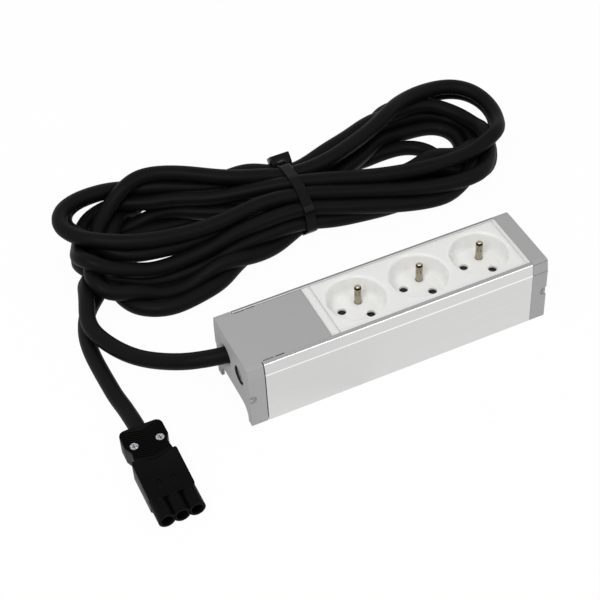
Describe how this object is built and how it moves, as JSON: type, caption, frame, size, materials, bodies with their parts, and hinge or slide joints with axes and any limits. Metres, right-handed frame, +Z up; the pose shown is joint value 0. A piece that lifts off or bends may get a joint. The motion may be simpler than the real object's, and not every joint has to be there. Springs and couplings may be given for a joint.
{
  "type": "multi-socket power block",
  "caption": "Aluminium channel power block with recessed earth-pin sockets, grey end covers, and a tied black cord that ends in an installation connector.",
  "frame": {"origin": "bottom centre of the block without its cord, on the surface it stands on", "axes": "+X along the block towards the plain end cap, -Y to the front, away from the cord, +Z up"},
  "size_m": [0.3721, 0.2911, 0.0513],
  "materials": {
    "anodised_aluminium": "satin anodised",
    "grey_plastic": "fine spark-eroded",
    "white_plastic": "semi-gloss",
    "dark_plastic": "as moulded",
    "black_plastic": "satin",
    "black_sheath": "satin extruded",
    "nickel_plate": "nickel plated",
    "brass": "bare",
    "zinc_steel": "zinc plated",
    "brown_insulation": "extruded",
    "blue_insulation": "extruded",
    "green_insulation": "extruded"
  },
  "bodies": {
    "block": {"aluminium_profile": "anodised_aluminium", "cable_tie": "black_plastic", "cap_screw_1": "zinc_steel", "cap_screw_2": "zinc_steel", "clamp_screw_1": "zinc_steel", "clamp_screw_2": "zinc_steel", "connector_body": "black_plastic", "connector_contact_1": "nickel_plate", "connector_contact_2": "nickel_plate", "connector_contact_3": "nickel_plate", "connector_housing": "black_plastic", "connector_screw_1": "zinc_steel", "connector_screw_2": "zinc_steel", "contact_plate": "dark_plastic", "cord_clamp": "grey_plastic", "cord_hank": "black_sheath", "cord_lead": "black_sheath", "cord_plug_lead": "black_sheath", "earth_bar": "brass", "earth_pin_1": "nickel_plate", "earth_pin_2": "nickel_plate", "earth_pin_3": "nickel_plate", "earth_wire": "green_insulation", "left_cover": "grey_plastic", "live_bar": "brass", "live_wire": "brown_insulation", "neutral_bar": "brass", "neutral_wire": "blue_insulation", "right_end_cap": "grey_plastic", "shutter_spring_1": "zinc_steel", "shutter_spring_2": "zinc_steel", "shutter_spring_3": "zinc_steel", "socket_base": "white_plastic", "socket_face": "white_plastic", "terminal_carrier": "grey_plastic", "terminal_earth": "brass", "terminal_live": "brass", "terminal_neutral": "brass", "terminal_screw_earth": "zinc_steel", "terminal_screw_live": "zinc_steel", "terminal_screw_neutral": "zinc_steel"},
    "shutter_1": {"shutter_1": "dark_plastic"},
    "shutter_2": {"shutter_2": "dark_plastic"},
    "shutter_3": {"shutter_3": "dark_plastic"}
  },
  "joints": [
    {"name": "shutter_1_turn", "type": "hinge", "parent": "block", "child": "shutter_1", "pos_m": [-0.019, 0, 0.0339], "axis": [0, 0, 1], "range_deg": [0, 40], "stiffness_Nm_per_rad": 0.0001, "springref_deg": -20.05},
    {"name": "shutter_2_turn", "type": "hinge", "parent": "block", "child": "shutter_2", "pos_m": [0.026, 0, 0.0339], "axis": [0, 0, 1], "range_deg": [0, 40], "stiffness_Nm_per_rad": 0.0001, "springref_deg": -20.05},
    {"name": "shutter_3_turn", "type": "hinge", "parent": "block", "child": "shutter_3", "pos_m": [0.071, 0, 0.0339], "axis": [0, 0, 1], "range_deg": [0, 40], "stiffness_Nm_per_rad": 0.0001, "springref_deg": -20.05}
  ]
}
